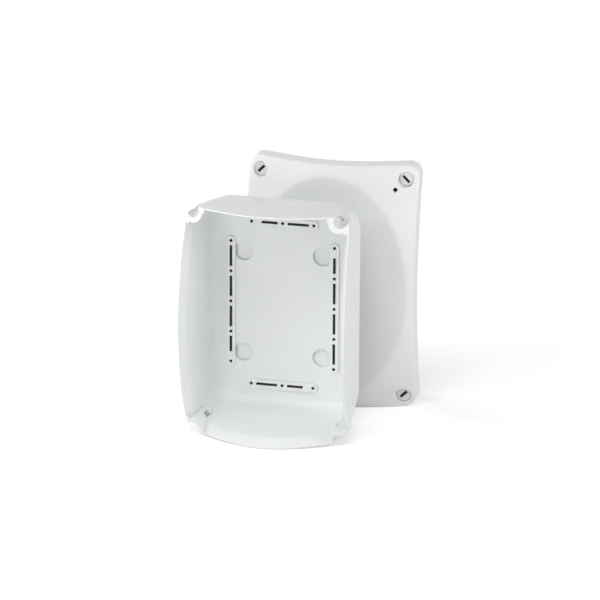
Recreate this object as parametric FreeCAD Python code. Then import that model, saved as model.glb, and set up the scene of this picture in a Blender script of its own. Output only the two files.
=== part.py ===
import FreeCAD, Part
import math
import os
from FreeCAD import Vector

# Cable junction box, light grey moulded housing, shown open: the base stands on its lower wall with
# its mouth to the front, and the lid, taken off, stands on its lower edge behind it.
# Millimetres. X to the right, Z up, the wall behind the box at Y = 0 and the viewer on the -Y side.
# "Depth" is the distance of a point in front of that wall, so Y = -depth.

# Housing of the base
base_rim_width = 158.6        # outside width at the mouth, middle of the long sides
base_rim_height = 226.2       # outside height at the same depth, middle of the short sides
base_depth = 93.3             # wall to the rim, middle of the long sides
side_draft = 3.4              # degrees, long walls
end_draft = 5.8               # degrees, short walls
rear_corner = 27.0            # outside corner radius at the back wall
front_corner = 13.0           # and from the pockets' floor to the mouth
wall = 5.0                    # thickness of the four walls
back_thickness = 3.5          # thickness of the back wall
inner_fillet = 8.0            # round between the back wall and the four walls
rear_edge_round = 3.0         # round of the outer rear edge

# Arched parting line: the rim falls away from an oval by a steady slope
rim_oval_width = 152.0
rim_oval_height = 221.0
rim_slope = 0.85              # fall of the base's rim for each millimetre outside the oval

# Lip: the walls' inner faces flare out to a thin edge at the rim
lip = 1.3                     # thickness left at the edge
flare_steepness = 2.9         # depth gained for each millimetre of flare
flare_end_gap = 1.5           # between a flare's end and the corner pillar
flare_points = 15             # on each arch
flare_margin = 2.5            # how far the flare is drawn past both faces of the wall

# Slotted fixing strips on the back wall
strip_pitch = 30.0            # from one round hole to the next
strip_column_x = 50.0         # upright strips, from the middle
strip_column_holes = 5
strip_row_z = 80.5            # level strips, from the middle
strip_row_holes = 3
strip_width = 9.0
strip_rise = 1.6              # how far a strip stands off the back wall
strip_hole = 3.0              # diameter
slot_width = 2.6
slot_gap = 4.8                # from a hole's middle to the end of the next slot
slot_short_gap = 9.8          # the same beside the last hole at one end of each strip
slot_depth = 6.8

# Wall fixing points
fixing_x = 38.0               # from the middle
fixing_z = 50.0
foot_diameter = 24.0
foot_height = 2.5             # the feet hold the back wall off the building's wall
dimple_diameter = 18.0
dimple_depth = 3.0
pilot_hole = 5.0              # blind from behind
pilot_skin = 1.0              # left standing in front of the pilot hole

# Drill marks on the walls: rows of three small dimples where cable entries are drilled
mark_pitch = 30.0             # from one row to the next, along a wall
mark_spacing = 4.0            # from one dimple to the next in a row
mark_depths = (42.0, 30.0)    # of the rows in front of the wall, in turn
mark_rows_side = 6
mark_rows_end = 4
mark_radius = 1.1             # of the ball that shapes a dimple
mark_sink = 0.7               # depth of a dimple in the wall

# Corner pillars that guide the lid's bosses; their pockets are open towards the outside
pillar_radius = 10.5
pocket_radius = 6.4
pocket_floor = 48.0           # depth of the pocket's floor in front of the wall
latch_room = 4.6              # height of the groove that the fastener's hook turns in
latch_clearance = 0.4
window_width = 5.0            # opening of the groove towards the inside of the box
window_drop = 6.0             # how far the window reaches below the pocket's floor

# Lid
lid_gap = 0.3                 # play between the base's rim and the skirt, long sides
lid_end_gap = 4.6             # the same at the short sides, where the walls lean more
skirt = 2.7                   # thickness of the skirt
lid_corner = 12.5             # outside corner radius
fastener_inset_x = 12.1       # fastener axis from the lid's long edges
fastener_inset_z = 13.1       # and from its short edges
lid_thickness = 3.0
skirt_height = 16.5           # front edge to rear edge, the same all round
skirt_overlap = 6.5           # how far the skirt reaches behind the rim at the middle of the long sides
dome_slope = 0.55             # fall of the lid's face for each millimetre outside the oval
dome_edge_round = 2.5         # round of the face's outer edge
oval_edge_round = 9.0         # soft bend where the flat oval meets the slope
seal_hole = 3.6               # square blind hole for a seal, beside one fastener
seal_hole_depth = 5.5
seal_hole_inset = 8.5         # from that fastener's axis, both ways
seal_hole_turn = 45.0         # degrees
seal_boss_radius = 4.5        # small boss behind the face that closes the hole
seal_boss_floor = 1.5

# Gasket in the lid
gasket_thickness = 3.0
gasket_inset = 0.8            # from the faces of the wall that it lands on
seat_inset = 0.5              # the lid's gasket seat, from the faces of the same wall

# Fasteners: a half turn swings the hook at the tip into the groove of its pillar
head_diameter = 13.6
head_height = 4.0
head_below_face = 20.6        # from the lid's flat face down to the heads
head_edge_round = 0.6
head_play = 0.35              # round the head, in its pocket
shaft_diameter = 5.5
shaft_play = 0.05             # round the shaft, in the lid
boss_wall = 4.0               # plate under the head
boss_play = 0.5               # between the boss and the pocket
boss_foot_gap = 0.5           # between the boss's foot and the groove
hook_reach = 7.0              # from the axis
hook_width = 2.6
hook_height = 3.0
hook_play = 0.2               # round the hook in the lid's keyway
tip_gap = 0.8                 # between the hook and the pocket's floor
driver_slot_length = 8.4
driver_slot_width = 2.6
driver_slot_depth = 2.2

# Where the lid stands while it is off the box
lid_shift_x = 35.0
lid_screws_behind = 51.5      # faces of the fastener heads, behind the wall plane

# Worked out from the sizes above
half_rim_x = base_rim_width / 2
half_rim_z = base_rim_height / 2
side_taper = math.tan(math.radians(side_draft))
end_taper = math.tan(math.radians(end_draft))
floor_depth = foot_height + back_thickness
lid_half_x = half_rim_x + lid_gap + skirt
lid_half_z = half_rim_z + lid_end_gap + skirt
axis_x = lid_half_x - fastener_inset_x
axis_z = lid_half_z - fastener_inset_z
boss_radius = pocket_radius - boss_play
latch_radius = hook_reach + latch_clearance
walls_back = 20.0             # depth that lies behind the parting line everywhere
overall_reach = 70.0          # how far the sloped surfaces are drawn outside the oval
working_front = 140.0         # depth that lies in front of everything


def at(x, depth, z):
    """Point at a distance in front of the wall."""
    return Vector(x, -depth, z)


def rounded_outline(half_x, half_z, radius, depth):
    """Closed wire of a rounded rectangle in the plane at this depth."""
    flat_x = half_x - radius
    flat_z = half_z - radius
    lean = radius * math.sqrt(0.5)
    edges = []
    for sx, sz in ((1, 1), (-1, 1), (-1, -1), (1, -1)):
        middle = at(sx * (flat_x + lean), depth, sz * (flat_z + lean))
        on_side = at(sx * half_x, depth, sz * flat_z)
        on_end = at(sx * flat_x, depth, sz * half_z)
        first, last = (on_side, on_end) if sx * sz > 0 else (on_end, on_side)
        if edges:
            edges.append(Part.LineSegment(previous, first).toShape())
        else:
            start = first
        edges.append(Part.Arc(first, middle, last).toShape())
        previous = last
    edges.append(Part.LineSegment(previous, start).toShape())
    return Part.Wire(edges)


def half_widths(depth, inset):
    """Half width and half height of the housing at a depth, moved inwards by inset."""
    return (half_rim_x - inset - (base_depth - depth) * side_taper,
            half_rim_z - inset - (base_depth - depth) * end_taper)


def housing(inset, from_depth, to_depth):
    """Drafted block bounded by the four walls' outside faces, moved inwards by inset."""
    depths = [from_depth, to_depth]
    if from_depth < pocket_floor < to_depth:
        depths.insert(1, pocket_floor)
    sections = []
    for depth in depths:
        half_x, half_z = half_widths(depth, inset)
        rear_share = max(0.0, 1.0 - depth / pocket_floor)
        corner = front_corner + (rear_corner - front_corner) * rear_share
        sections.append(rounded_outline(half_x, half_z, corner - inset, depth))
    return Part.makeLoft(sections, True, True)


def block(half_x, half_z, radius, from_depth, to_depth):
    """Straight block with rounded corners."""
    face = Part.Face(rounded_outline(half_x, half_z, radius, from_depth))
    return face.extrude(at(0, to_depth - from_depth, 0))


def oval(grow, depth):
    """Closed wire: the oval of the lid's flat face, grown all round."""
    long_half = rim_oval_height / 2 + grow
    short_half = rim_oval_width / 2 + grow
    curve = Part.Ellipse(at(0, depth, long_half), at(short_half, depth, 0), at(0, depth, 0))
    return Part.Wire([curve.toShape()])


def behind_slope(face_depth, slope):
    """Everything behind a flat oval and the sloped surface that falls away round it."""
    low = face_depth - slope * overall_reach
    sections = [oval(overall_reach, -working_front), oval(overall_reach, low), oval(0.0, face_depth)]
    return Part.makeLoft(sections, True, True)


def dome(face_depth):
    """The same for the lid's face, with the soft bend round the oval."""
    body = behind_slope(face_depth, dome_slope)
    bend = [e for e in body.Edges if abs(e.BoundBox.YMin + face_depth) < 0.01 and e.BoundBox.ZLength > 1]
    return body.makeFillet(oval_edge_round, bend)


def rod(x, z, radius, from_depth, to_depth):
    """Round bar along the depth."""
    return Part.makeCylinder(radius, to_depth - from_depth, at(x, from_depth, z), Vector(0, -1, 0))


def bar(x, z, length, width, from_depth, to_depth, turn):
    """Rectangular bar along the depth, its long side turned from the X axis, degrees."""
    corner = at(-length / 2, from_depth, -width / 2)
    shape = Part.makeBox(length, to_depth - from_depth, width)
    shape.translate(corner - Vector(0, to_depth - from_depth, 0))
    shape.rotate(Vector(0, 0, 0), Vector(0, 1, 0), -turn)
    shape.translate(Vector(x, 0, z))
    return shape


def oval_distance(x, z):
    """How far the oval has to grow to pass through a point."""
    low, high = 0.0, overall_reach
    while high - low > 1e-6:
        grow = (low + high) / 2
        reach = (x / (rim_oval_width / 2 + grow)) ** 2 + (z / (rim_oval_height / 2 + grow)) ** 2
        if reach > 1:
            low = grow
        else:
            high = grow
    return low


corners = [(-1, 1), (1, 1), (-1, -1), (1, -1)]
corner_names = {(-1, 1): "top_left", (1, 1): "top_right", (-1, -1): "bottom_left", (1, -1): "bottom_right"}

# Depths of the sloped surfaces where they meet the flat oval
rim_face_depth = base_depth + rim_slope * oval_distance(half_rim_x, 0.0)
lid_face_depth = base_depth - skirt_overlap + skirt_height + dome_slope * oval_distance(lid_half_x, 0.0)
head_face_depth = lid_face_depth - head_below_face
head_seat_depth = head_face_depth - head_height
latch_front = pocket_floor + latch_room
boss_foot_depth = latch_front + boss_foot_gap
hook_back = pocket_floor + tip_gap


def inward_turn(sx, sz):
    """Direction from a corner's fastener to the middle of the box, degrees from the X axis."""
    return math.degrees(math.atan2(-sz, -sx))


def arch_depth(x, z):
    """Depth of the rim's sloped surface."""
    return rim_face_depth - rim_slope * oval_distance(x, z)


def flare(side, sign):
    """The room that one wall's flare adds behind its lip: an arched face swept inwards and back."""
    reach = (axis_z if side else axis_x) - pillar_radius - flare_end_gap
    step = 2 * reach / (flare_points - 1)
    sweep_in = wall - lip + 2 * flare_margin
    edge_points = []
    for i in range(flare_points):
        along = -reach + i * step
        depth = base_depth
        for _ in range(20):
            half_x, half_z = half_widths(depth, lip)
            depth = arch_depth(half_x, along) if side else arch_depth(along, half_z)
        edge_points.append((along, depth))
    edge_points.insert(0, (-reach, working_front))
    edge_points.append((reach, working_front))
    corner_points = []
    for along, depth in edge_points:
        half_x, half_z = half_widths(depth, lip)
        if side:
            corner_points.append(at(sign * half_x, depth, along))
        else:
            corner_points.append(at(along, depth, sign * half_z))
    arch = Part.BSplineCurve()
    arch.interpolate(corner_points[1:-1])
    first, last = corner_points[0], corner_points[-1]
    wire = Part.Wire([Part.makeLine(first, corner_points[1]), arch.toShape(),
                      Part.makeLine(corner_points[-2], last), Part.makeLine(last, first)])
    inward = at(-sign, -flare_steepness, 0) if side else at(0, -flare_steepness, -sign)
    shape = Part.Face(wire).extrude(inward * sweep_in)
    shape.translate(inward * -flare_margin)
    return shape


def across_wall_band(inset, from_depth, to_depth):
    """The footprint of the walls and pillars' outer skins, narrowed on both faces by inset."""
    outer = housing(inset, from_depth, to_depth)
    inner = housing(wall - inset, from_depth - 1, to_depth + 1)
    for sx, sz in corners:
        x, z = sx * axis_x, sz * axis_z
        inner = inner.cut(rod(x, z, pillar_radius - inset, from_depth - 2, to_depth + 2))
        outer = outer.cut(rod(x, z, pocket_radius + inset, from_depth - 1, to_depth + 1))
    return outer.cut(inner)


def strip(x, z, holes, upright, short_end):
    """One raised strip and the tool that cuts its holes and slots; short_end is +1 or -1."""
    reach = (holes - 1) * strip_pitch / 2
    half_long = reach + strip_width / 2
    half_width = strip_width / 2
    size = (half_width, half_long) if upright else (half_long, half_width)
    front = floor_depth + strip_rise
    body = block(size[0], size[1], half_width - 0.01, 0.0, front)
    body.translate(Vector(x, 0, z))
    tools = []
    deep = front - slot_depth
    for i in range(holes):
        along = -reach + i * strip_pitch
        hx, hz = (x, z + along) if upright else (x + along, z)
        tools.append(rod(hx, hz, strip_hole / 2, deep, front + 1))
        if i < holes - 1:
            low = along + slot_gap
            high = along + strip_pitch - slot_gap
            if short_end > 0 and i == holes - 2:
                high = along + strip_pitch - slot_short_gap
            if short_end < 0 and i == 0:
                low = along + slot_short_gap
            middle = (low + high) / 2
            sx, sz = (x, z + middle) if upright else (x + middle, z)
            tools.append(bar(sx, sz, high - low, slot_width, deep, front + 1, 90 if upright else 0))
    return body, tools


def drill_marks():
    """Small balls that sink the drill marks into the four walls, rows of three along the walls."""
    balls = []
    out = mark_radius - mark_sink
    for side, rows in ((True, mark_rows_side), (False, mark_rows_end)):
        for sign in (-1, 1):
            for i in range(rows):
                depth = mark_depths[i % 2]
                half_x, half_z = half_widths(depth, -out)
                for k in (-1, 0, 1):
                    along = sign * ((i - (rows - 1) / 2) * mark_pitch + k * mark_spacing)
                    if side:
                        middle = at(sign * half_x, depth, along)
                    else:
                        middle = at(along, depth, sign * half_z)
                    balls.append(Part.makeSphere(mark_radius, middle))
    return balls


def make_base():
    """The base: one moulding with its walls, strips, fixing points and corner pillars."""
    body = housing(0.0, foot_height, working_front)
    rear_edges = [e for e in body.Edges if e.BoundBox.YMin > -foot_height - 0.01]
    body = body.makeFillet(rear_edge_round, rear_edges)
    room = housing(wall, floor_depth, working_front + 1)
    back_edges = [e for e in room.Edges if e.BoundBox.YMin > -floor_depth - 0.01]
    room = room.makeFillet(inner_fillet, back_edges)
    for sx, sz in corners:
        room = room.cut(rod(sx * axis_x, sz * axis_z, pillar_radius, 0, working_front + 2))
    body = body.cut(room)
    body = body.common(behind_slope(rim_face_depth, rim_slope))
    added = []
    removed = drill_marks()
    for sign in (-1, 1):
        removed.append(flare(True, sign))
        removed.append(flare(False, sign))
    for sx, sz in corners:
        x, z = sx * axis_x, sz * axis_z
        removed.append(rod(x, z, pocket_radius, pocket_floor, working_front))
        removed.append(rod(x, z, latch_radius, pocket_floor, latch_front))
        window_x = x - sx * pillar_radius * math.sqrt(0.5)
        window_z = z - sz * pillar_radius * math.sqrt(0.5)
        removed.append(bar(window_x, window_z, pillar_radius, window_width,
                           pocket_floor - window_drop, latch_front, inward_turn(sx, sz)))
    for sx in (-1, 1):
        pad, tools = strip(sx * strip_column_x, 0.0, strip_column_holes, True, sx)
        added.append(pad)
        removed.extend(tools)
    for sz in (-1, 1):
        pad, tools = strip(0.0, sz * strip_row_z, strip_row_holes, False, -sz)
        added.append(pad)
        removed.extend(tools)
    for sx, sz in corners:
        x, z = sx * fixing_x, sz * fixing_z
        added.append(rod(x, z, foot_diameter / 2, 0.0, foot_height + 1.0))
        removed.append(rod(x, z, dimple_diameter / 2, floor_depth - dimple_depth, floor_depth + 1))
        removed.append(rod(x, z, pilot_hole / 2, -1.0, floor_depth - dimple_depth - pilot_skin))
    body = body.fuse(added)
    for tool in removed:
        body = body.cut(tool)
    return body.removeSplitter()


def on_dome_edge(edge):
    """True for the edges where the lid's sloped face meets its upright sides."""
    middle = edge.valueAt((edge.FirstParameter + edge.LastParameter) / 2)
    at_side = lid_half_x - abs(middle.x) < 0.01 or lid_half_z - abs(middle.z) < 0.01
    out_x = abs(middle.x) - (lid_half_x - lid_corner)
    out_z = abs(middle.z) - (lid_half_z - lid_corner)
    at_corner = out_x > 0 and out_z > 0 and abs(math.hypot(out_x, out_z) - lid_corner) < 0.01
    on_face = -middle.y > 1.0
    upright = edge.BoundBox.YLength > 0.9 * edge.Length
    return (at_side or at_corner) and on_face and not upright


def make_lid():
    """The lid as it sits on the base: domed face, skirt, gasket seat and fastener bosses."""
    outside = block(lid_half_x, lid_half_z, lid_corner, 0.0, working_front - 1)
    outside = outside.common(dome(lid_face_depth))
    rim = [e for e in outside.Edges if on_dome_edge(e)]
    outside = outside.makeFillet(dome_edge_round, rim)
    hollow = block(lid_half_x - skirt, lid_half_z - skirt, lid_corner - skirt, -1.0, working_front - 2)
    hollow = hollow.common(behind_slope(lid_face_depth - lid_thickness, dome_slope))
    gasket_front = behind_slope(rim_face_depth + gasket_thickness, rim_slope)
    seat = across_wall_band(seat_inset, walls_back, working_front - 3).cut(gasket_front)
    body = outside.cut(behind_slope(lid_face_depth - skirt_height, dome_slope))
    body = body.cut(hollow)
    body = body.fuse(seat.common(outside))
    plate_back = head_seat_depth - boss_wall
    bosses = []
    removed = []
    for sx, sz in corners:
        x, z = sx * axis_x, sz * axis_z
        collar = rod(x, z, head_diameter / 2 + head_play + skirt, plate_back, working_front)
        boss = rod(x, z, boss_radius, boss_foot_depth, head_seat_depth)
        bosses.append(boss.fuse(collar.common(outside).cut(gasket_front)))
        removed.append(rod(x, z, head_diameter / 2 + head_play, head_seat_depth, working_front))
        removed.append(rod(x, z, shaft_diameter / 2 + shaft_play, boss_foot_depth - 1, working_front))
        keyway = hook_reach + hook_play
        removed.append(bar(x + keyway / 2, z, keyway, hook_width + 2 * hook_play,
                           boss_foot_depth - 1, head_seat_depth + 0.01, 0))
    x, z = axis_x - seal_hole_inset, axis_z - seal_hole_inset
    hole_floor = lid_face_depth - dome_slope * oval_distance(x, z) - seal_hole_depth
    bosses.append(rod(x, z, seal_boss_radius, hole_floor - seal_boss_floor, working_front).common(outside))
    removed.append(bar(x, z, seal_hole, seal_hole, hole_floor, working_front, seal_hole_turn))
    body = body.fuse(bosses)
    for tool in removed:
        body = body.cut(tool)
    return body


def make_gasket():
    """The lid's gasket: one closed ring that follows the arched rim and passes inside the fasteners."""
    band = across_wall_band(gasket_inset, walls_back, working_front - 1)
    layer = behind_slope(rim_face_depth + gasket_thickness, rim_slope)
    layer = layer.cut(behind_slope(rim_face_depth, rim_slope))
    return band.common(layer)


def make_fastener(sx, sz):
    """One fastener: slotted head, shaft, and a hook at its tip that points out of the corner at rest."""
    x, z = sx * axis_x, sz * axis_z
    inward = inward_turn(sx, sz)
    head = rod(x, z, head_diameter / 2, head_seat_depth, head_face_depth)
    rim = [e for e in head.Edges if abs(e.BoundBox.YMin + head_face_depth) < 0.01 and e.Length > 1]
    head = head.makeFillet(head_edge_round, rim[:1])
    shaft = rod(x, z, shaft_diameter / 2, hook_back, head_seat_depth + 0.5)
    out_x = x + sx * hook_reach / 2 * math.sqrt(0.5)
    out_z = z + sz * hook_reach / 2 * math.sqrt(0.5)
    hook = bar(out_x, out_z, hook_reach, hook_width, hook_back, hook_back + hook_height, inward)
    hook = hook.common(rod(x, z, hook_reach - 0.01, 0.0, working_front))
    body = head.fuse([shaft, hook])
    groove = bar(x, z, driver_slot_length, driver_slot_width, head_face_depth - driver_slot_depth,
                 head_face_depth + 1, inward + 90)
    return body.cut(groove).removeSplitter()


def half_height_on_floor():
    """Half the height of the base where its lower rim stands on the floor."""
    half = half_rim_z
    for _ in range(30):
        half = half_widths(arch_depth(0.0, half), 0.0)[1]
    return half


os.makedirs("parts", exist_ok=True)

lid_lift = lid_half_z - half_height_on_floor()
lid_away = Vector(lid_shift_x, head_face_depth + lid_screws_behind, lid_lift)

pieces = {"base": make_base()}
off_box = {"lid": make_lid(), "lid_gasket": make_gasket()}
for corner in corners:
    off_box["fastener_" + corner_names[corner]] = make_fastener(*corner)
for name, shape in off_box.items():
    shape.translate(lid_away)
    pieces[name] = shape

print("lid and fasteners moved by", lid_away, "face depths", rim_face_depth, lid_face_depth)
for name, shape in pieces.items():
    print(name, len(shape.Solids), "solid", shape.isValid(), round(shape.Volume / 1000, 1), "cm3")
    shape.exportStep("parts/" + name + ".step")
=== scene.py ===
import bpy
import math
from mathutils import Matrix, Vector


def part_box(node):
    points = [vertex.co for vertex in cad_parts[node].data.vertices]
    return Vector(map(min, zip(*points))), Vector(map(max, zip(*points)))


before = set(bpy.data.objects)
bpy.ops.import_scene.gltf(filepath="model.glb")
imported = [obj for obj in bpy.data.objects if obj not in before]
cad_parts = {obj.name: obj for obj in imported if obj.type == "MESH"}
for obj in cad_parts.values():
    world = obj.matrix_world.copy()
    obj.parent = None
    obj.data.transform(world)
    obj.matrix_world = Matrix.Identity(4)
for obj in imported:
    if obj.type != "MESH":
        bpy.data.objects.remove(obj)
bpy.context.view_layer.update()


# Camera: a long one that looks down from the front right on an opened cable junction box. The base
# faces the viewer, the lid stands behind it, and both stand on one plain floor.
camera_yaw = math.radians(13.40)          # towards the right of the box
camera_elevation = math.radians(18.50)
camera_roll = math.radians(0.297)
camera_distance = 4.195
camera_target = Vector((0.0248, -0.040, 0.0177))
camera_lens = 270.0                       # mm, on a sensor 36 mm wide
camera_far_end = 20.0

to_camera = Vector((math.sin(camera_yaw) * math.cos(camera_elevation),
                    -math.cos(camera_yaw) * math.cos(camera_elevation),
                    math.sin(camera_elevation)))
level_right = Vector((math.cos(camera_yaw), math.sin(camera_yaw), 0.0))
level_up = to_camera.cross(level_right)
camera_right = level_right * math.cos(camera_roll) + level_up * math.sin(camera_roll)
camera_up = to_camera.cross(camera_right)
camera_turn = Matrix((camera_right, camera_up, to_camera)).transposed().to_4x4()

camera_data = bpy.data.cameras.new("camera")
camera_data.lens = camera_lens
camera_data.clip_end = camera_far_end
camera = bpy.data.objects.new("camera", camera_data)
camera.matrix_world = Matrix.Translation(camera_target + to_camera * camera_distance) @ camera_turn
bpy.context.scene.collection.objects.link(camera)
bpy.context.scene.camera = camera
bpy.context.scene.view_settings.view_transform = "Standard"


# Floor: a plain white studio sheet under both pieces. It looks white where nothing shades it,
# and the soft shadow of the box stays on it.
floor_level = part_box("base")[0].z
floor_reach = 6.0
floor_colour = (0.90, 0.90, 0.90, 1.0)
floor_glow_y = (-0.35, 1.5)
floor_glow = (0.285, 0.585)               # at these two places, as far ones get less light


def math_step(tree, operation, *values):
    """A math node fed with numbers or with the outputs of other nodes. Gives its output."""
    step = tree.nodes.new("ShaderNodeMath")
    step.operation = operation
    for socket, value in zip(step.inputs, values):
        if isinstance(value, bpy.types.NodeSocket):
            tree.links.new(value, socket)
        else:
            socket.default_value = value
    return step.outputs[0]


def range_step(tree, value, from_range, to_range, interpolation="LINEAR"):
    """A node that carries a value from one range to another. Gives its output."""
    step = tree.nodes.new("ShaderNodeMapRange")
    step.interpolation_type = interpolation
    step.inputs["From Min"].default_value, step.inputs["From Max"].default_value = from_range
    step.inputs["To Min"].default_value, step.inputs["To Max"].default_value = to_range
    tree.links.new(value, step.inputs["Value"])
    return step.outputs["Result"]


floor_corners = [(x * floor_reach, y * floor_reach, floor_level)
                 for x, y in ((-1, -1), (1, -1), (1, 1), (-1, 1))]
floor_mesh = bpy.data.meshes.new("floor")
floor_mesh.from_pydata(floor_corners, [], [(0, 1, 2, 3)])
floor = bpy.data.objects.new("floor", floor_mesh)
bpy.context.scene.collection.objects.link(floor)

floor_material = bpy.data.materials.new("studio_sheet")
floor_material.use_nodes = True
tree = floor_material.node_tree
tree.nodes.clear()
sheet = tree.nodes.new("ShaderNodeBsdfDiffuse")
sheet.inputs["Color"].default_value = floor_colour
place = tree.nodes.new("ShaderNodeTexCoord")
split = tree.nodes.new("ShaderNodeSeparateXYZ")
tree.links.new(place.outputs["Object"], split.inputs[0])
path = tree.nodes.new("ShaderNodeLightPath")
glow = tree.nodes.new("ShaderNodeEmission")
glow_here = range_step(tree, split.outputs["Y"], floor_glow_y, floor_glow)
glow_seen = math_step(tree, "MULTIPLY", path.outputs["Is Camera Ray"], glow_here)
tree.links.new(glow_seen, glow.inputs["Strength"])
both = tree.nodes.new("ShaderNodeAddShader")
tree.links.new(sheet.outputs[0], both.inputs[0])
tree.links.new(glow.outputs[0], both.inputs[1])
output = tree.nodes.new("ShaderNodeOutputMaterial")
tree.links.new(both.outputs[0], output.inputs["Surface"])
floor_mesh.materials.append(floor_material)


# Light: an even pale surround that looks white, and soft lamps. One stands high in front, two light
# the front from the left and right, two the sides, and a small one low in front lifts the shades.
surround_strength = 0.22
backdrop_strength = 1.0                   # where the surround is seen, mirrored or seen through
box_middle = (0.0, 0.0, 0.0)
box_low_middle = (0.0, 0.0, -0.08)

world = bpy.data.worlds.new("surround")
bpy.context.scene.world = world
world.use_nodes = True
tree = world.node_tree
tree.nodes.clear()
surround = tree.nodes.new("ShaderNodeBackground")
surround.inputs["Color"].default_value = (1.0, 1.0, 1.0, 1.0)
surround.inputs["Strength"].default_value = surround_strength
backdrop = tree.nodes.new("ShaderNodeBackground")
backdrop.inputs["Color"].default_value = (1.0, 1.0, 1.0, 1.0)
backdrop.inputs["Strength"].default_value = backdrop_strength
path = tree.nodes.new("ShaderNodeLightPath")
seen = math_step(tree, "MAXIMUM", path.outputs["Is Camera Ray"], path.outputs["Is Glossy Ray"])
seen = math_step(tree, "MAXIMUM", seen, path.outputs["Is Transmission Ray"])
choice = tree.nodes.new("ShaderNodeMixShader")
tree.links.new(seen, choice.inputs["Fac"])
tree.links.new(surround.outputs[0], choice.inputs[1])
tree.links.new(backdrop.outputs[0], choice.inputs[2])
output = tree.nodes.new("ShaderNodeOutputWorld")
tree.links.new(choice.outputs[0], output.inputs["Surface"])


def soft_lamp(name, place, aim, side, watts):
    """A square soft lamp that faces a point."""
    data = bpy.data.lights.new(name, "AREA")
    data.shape = "SQUARE"
    data.size = side
    data.energy = watts
    lamp = bpy.data.objects.new(name, data)
    lamp.location = place
    lamp.rotation_euler = (Vector(aim) - Vector(place)).to_track_quat("-Z", "Y").to_euler()
    bpy.context.scene.collection.objects.link(lamp)


soft_lamp("lamp_high", (0.0, -1.3, 2.4), box_middle, 1.0, 19.0)
soft_lamp("lamp_front_left", (-1.4, -1.7, 1.5), box_middle, 1.2, 13.6)
soft_lamp("lamp_front_right", (2.2, -1.0, 0.7), box_middle, 1.4, 16.0)
soft_lamp("lamp_side_left", (-2.3, 0.15, 0.9), box_middle, 1.4, 24.0)
soft_lamp("lamp_side_right", (2.3, 0.15, 0.5), box_middle, 1.4, 12.6)
soft_lamp("lamp_low", (-0.25, -0.95, -0.02), box_low_middle, 0.35, 2.1)


# Base: a light grey moulding with the mould's fine satin grain and faint flow marks, its edges made
# a little paler by a painted highlight. It is screwed to a wall through its back. Its holes and
# slots are darkened with painted shade.
housing_plain = (0.852, 0.870, 0.855, 1.0)
# The paler colour below is a painted highlight on the edges.
housing_edge_highlight = (0.890, 0.900, 0.888, 1.0)
housing_shaded = (0.826, 0.845, 0.830, 1.0)
housing_roughness = 0.42
plastic_ior = 1.47
plastic_specular = 0.42
gloss_spread = (-0.05, 0.06)              # of the roughness, along the flow marks
flow_per_metre = 14.0
flow_detail = 3.0
grain_per_metre = 2600.0
grain_detail = 2.0
grain_strength = 0.12
grain_height = 0.0002
edge_round = 0.0005
# Painted highlight: edges are paled by how far the rounded normal bends from the flat one.
edge_bend = (0.995, 0.80)                 # cosines, from hardly bent to well round an edge
edge_highlight_range = (0.0, 0.55)
# Painted shade: narrow deep slots and holes of the fixing strips are darkened to the colour below.
slot_shade_colour = (0.190, 0.194, 0.190, 1.0)
slot_reach = 0.010
slot_open = (0.22, 0.46)                  # open shares, from fully dark to the plain colour
slots_y = (-0.0082, 0.001)                # the slots of the fixing strips lie between these
# Painted shade: the drill marks' small hollows, in a band of depth, are darkened a little.
marks_y = -0.036                          # middle of the band of the walls with drill marks
marks_half_band = 0.0085
marks_reach = 0.0022
marks_open = (0.60, 0.95)
marks_shade = (0.45, 0.0)                 # at those open shares


def mix_step(tree, share, first, second):
    """A node that mixes two colours, each a fixed one or an output. Gives its output."""
    step = tree.nodes.new("ShaderNodeMix")
    step.data_type = "RGBA"
    tree.links.new(share, step.inputs["Factor"])
    for name, value in (("A", first), ("B", second)):
        if isinstance(value, bpy.types.NodeSocket):
            tree.links.new(value, step.inputs[name])
        else:
            step.inputs[name].default_value = value
    return step.outputs["Result"]


def noise_step(tree, place, per_metre, detail):
    """Noise laid on the piece itself. Gives its output."""
    step = tree.nodes.new("ShaderNodeTexNoise")
    step.inputs["Scale"].default_value = per_metre
    step.inputs["Detail"].default_value = detail
    tree.links.new(place.outputs["Object"], step.inputs["Vector"])
    return step.outputs["Fac"]


def open_share_step(tree, reach, samples):
    """How open the surface is within a reach, counting only the piece itself. Gives its output."""
    step = tree.nodes.new("ShaderNodeAmbientOcclusion")
    step.samples = samples
    step.only_local = True
    step.inputs["Distance"].default_value = reach
    return step.outputs["AO"]


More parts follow.
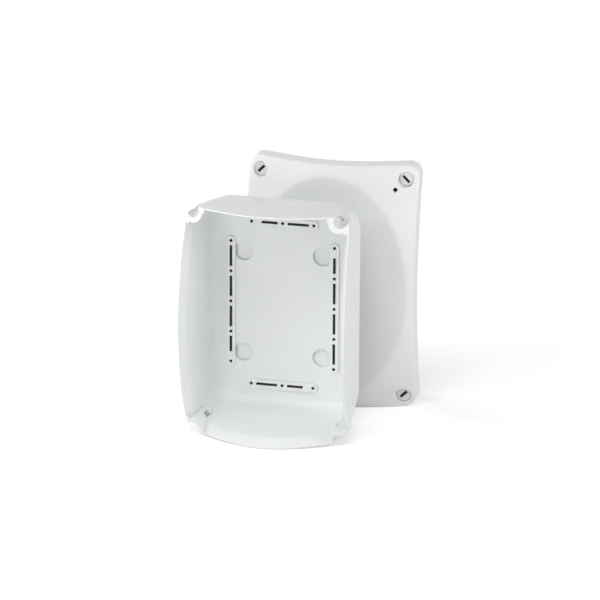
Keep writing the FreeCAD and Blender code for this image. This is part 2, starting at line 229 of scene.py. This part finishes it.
def moulded_plastic(name, plain, edge_highlight, shaded, roughness, dark, dark_reach, dark_open, dark_y):
    """Satin moulded plastic with grain and flow marks, a painted highlight on its edges, and
    painted shade in its drill marks and narrow holes.
    """
    material = bpy.data.materials.new(name)
    material.use_nodes = True
    tree = material.node_tree
    shader = tree.nodes["Principled BSDF"]
    shader.inputs["IOR"].default_value = plastic_ior
    shader.inputs["Specular IOR Level"].default_value = plastic_specular
    place = tree.nodes.new("ShaderNodeTexCoord")
    split = tree.nodes.new("ShaderNodeSeparateXYZ")
    tree.links.new(place.outputs["Object"], split.inputs[0])

    # Flow marks, and a painted highlight that pales the edges where the rounded normal leaves the
    # flat one.
    flow = noise_step(tree, place, flow_per_metre, flow_detail)
    colour = mix_step(tree, flow, shaded, plain)
    soft_edge = tree.nodes.new("ShaderNodeBevel")
    soft_edge.samples = 6
    soft_edge.inputs["Radius"].default_value = edge_round
    face = tree.nodes.new("ShaderNodeNewGeometry")
    bend = tree.nodes.new("ShaderNodeVectorMath")
    bend.operation = "DOT_PRODUCT"
    tree.links.new(soft_edge.outputs["Normal"], bend.inputs[0])
    tree.links.new(face.outputs["Normal"], bend.inputs[1])
    edge_highlight_share = range_step(tree, bend.outputs["Value"], edge_bend, edge_highlight_range)
    colour = mix_step(tree, edge_highlight_share, colour, edge_highlight)

    # Painted shade: the drill marks' small hollows are darkened a little in the colour.
    marks_hollow_shade = range_step(tree, open_share_step(tree, marks_reach, 8), marks_open, marks_shade)
    near_marks = math_step(tree, "COMPARE", split.outputs["Y"], marks_y, marks_half_band)
    shade = math_step(tree, "MULTIPLY", marks_hollow_shade, near_marks)
    marks_shaded_colour = tree.nodes.new("ShaderNodeVectorMath")
    marks_shaded_colour.operation = "SCALE"
    tree.links.new(colour, marks_shaded_colour.inputs[0])
    tree.links.new(math_step(tree, "SUBTRACT", 1.0, shade), marks_shaded_colour.inputs["Scale"])

    # Painted shade: narrow holes within the given band of depth are darkened in the colour.
    clear = range_step(tree, open_share_step(tree, dark_reach, 12), dark_open, (0.0, 1.0),
                       "SMOOTHSTEP")
    near_holes = math_step(tree, "COMPARE", split.outputs["Y"],
                           (dark_y[0] + dark_y[1]) / 2, (dark_y[1] - dark_y[0]) / 2)
    clear = math_step(tree, "MAXIMUM", clear, math_step(tree, "SUBTRACT", 1.0, near_holes))
    colour = mix_step(tree, clear, dark, marks_shaded_colour.outputs["Vector"])
    tree.links.new(colour, shader.inputs["Base Color"])

    gloss = range_step(tree, flow, (0.0, 1.0), [roughness + spread for spread in gloss_spread])
    tree.links.new(gloss, shader.inputs["Roughness"])
    relief = tree.nodes.new("ShaderNodeBump")
    relief.inputs["Strength"].default_value = grain_strength
    relief.inputs["Distance"].default_value = grain_height
    grain = noise_step(tree, place, grain_per_metre, grain_detail)
    tree.links.new(grain, relief.inputs["Height"])
    tree.links.new(soft_edge.outputs["Normal"], relief.inputs["Normal"])
    tree.links.new(relief.outputs["Normal"], shader.inputs["Normal"])
    return material


def finish_node(name, material):
    """Give a CAD node its finish."""
    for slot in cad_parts[name].material_slots:
        slot.material = material


finish_node("base", moulded_plastic("base_plastic", housing_plain, housing_edge_highlight, housing_shaded,
                                    housing_roughness, slot_shade_colour, slot_reach, slot_open, slots_y))


# Lid: one moulding in the base's plastic and finish, held to the base by its four corner fasteners.
# Its small square seal hole beside one fastener is deep for its width; painted shade darkens it and
# the lid's other narrow deep places to near black.
seal_hole_shade_colour = (0.008, 0.008, 0.008, 1.0)
seal_hole_reach = 0.010
seal_hole_open = (0.22, 0.46)
lid_y = (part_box("lid")[0].y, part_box("lid")[1].y)
finish_node("lid", moulded_plastic("lid_plastic", housing_plain, housing_edge_highlight, housing_shaded,
                                   housing_roughness, seal_hole_shade_colour, seal_hole_reach,
                                   seal_hole_open, lid_y))


# Fasteners: four half-turn pieces moulded in the same plastic, a shade greyer and smoother than
# the housing. Each is held in the lid by its head and hook. Painted shade darkens its screwdriver
# slot to near black.
fastener_plain = (0.800, 0.818, 0.803, 1.0)
# The paler colour below is a painted highlight on the edges.
fastener_edge_highlight = (0.860, 0.870, 0.860, 1.0)
fastener_shaded = (0.770, 0.788, 0.773, 1.0)
fastener_roughness = 0.36
driver_slot_shade_colour = (0.008, 0.008, 0.008, 1.0)
driver_slot_reach = 0.003
driver_slot_open = (0.84, 0.985)
head_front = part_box("fastener_top_left")[0].y
head_y = (head_front - 0.001, head_front + 0.003)

fastener_plastic = moulded_plastic("fastener_plastic", fastener_plain, fastener_edge_highlight,
                                   fastener_shaded, fastener_roughness, driver_slot_shade_colour,
                                   driver_slot_reach, driver_slot_open, head_y)
for corner in ("top_left", "top_right", "bottom_left", "bottom_right"):
    finish_node("fastener_" + corner, fastener_plastic)


# Lid gasket: a soft foamed seal, laid as one ring in the lid, with a fine open skin.
gasket_dark = (0.055, 0.055, 0.058, 1.0)
gasket_grey = (0.090, 0.090, 0.094, 1.0)
gasket_roughness = (0.62, 0.80)
gasket_specular = 0.3
foam_per_metre = 1800.0
foam_strength = 0.4
foam_height = 0.0003

gasket_rubber = bpy.data.materials.new("gasket_rubber")
gasket_rubber.use_nodes = True
tree = gasket_rubber.node_tree
shader = tree.nodes["Principled BSDF"]
shader.inputs["Specular IOR Level"].default_value = gasket_specular
place = tree.nodes.new("ShaderNodeTexCoord")
cells = tree.nodes.new("ShaderNodeTexVoronoi")
cells.inputs["Scale"].default_value = foam_per_metre
tree.links.new(place.outputs["Object"], cells.inputs["Vector"])
foam = cells.outputs["Distance"]
tree.links.new(mix_step(tree, foam, gasket_dark, gasket_grey), shader.inputs["Base Color"])
tree.links.new(range_step(tree, foam, (0.0, 1.0), gasket_roughness), shader.inputs["Roughness"])
relief = tree.nodes.new("ShaderNodeBump")
relief.inputs["Strength"].default_value = foam_strength
relief.inputs["Distance"].default_value = foam_height
tree.links.new(foam, relief.inputs["Height"])
tree.links.new(relief.outputs["Normal"], shader.inputs["Normal"])
finish_node("lid_gasket", gasket_rubber)
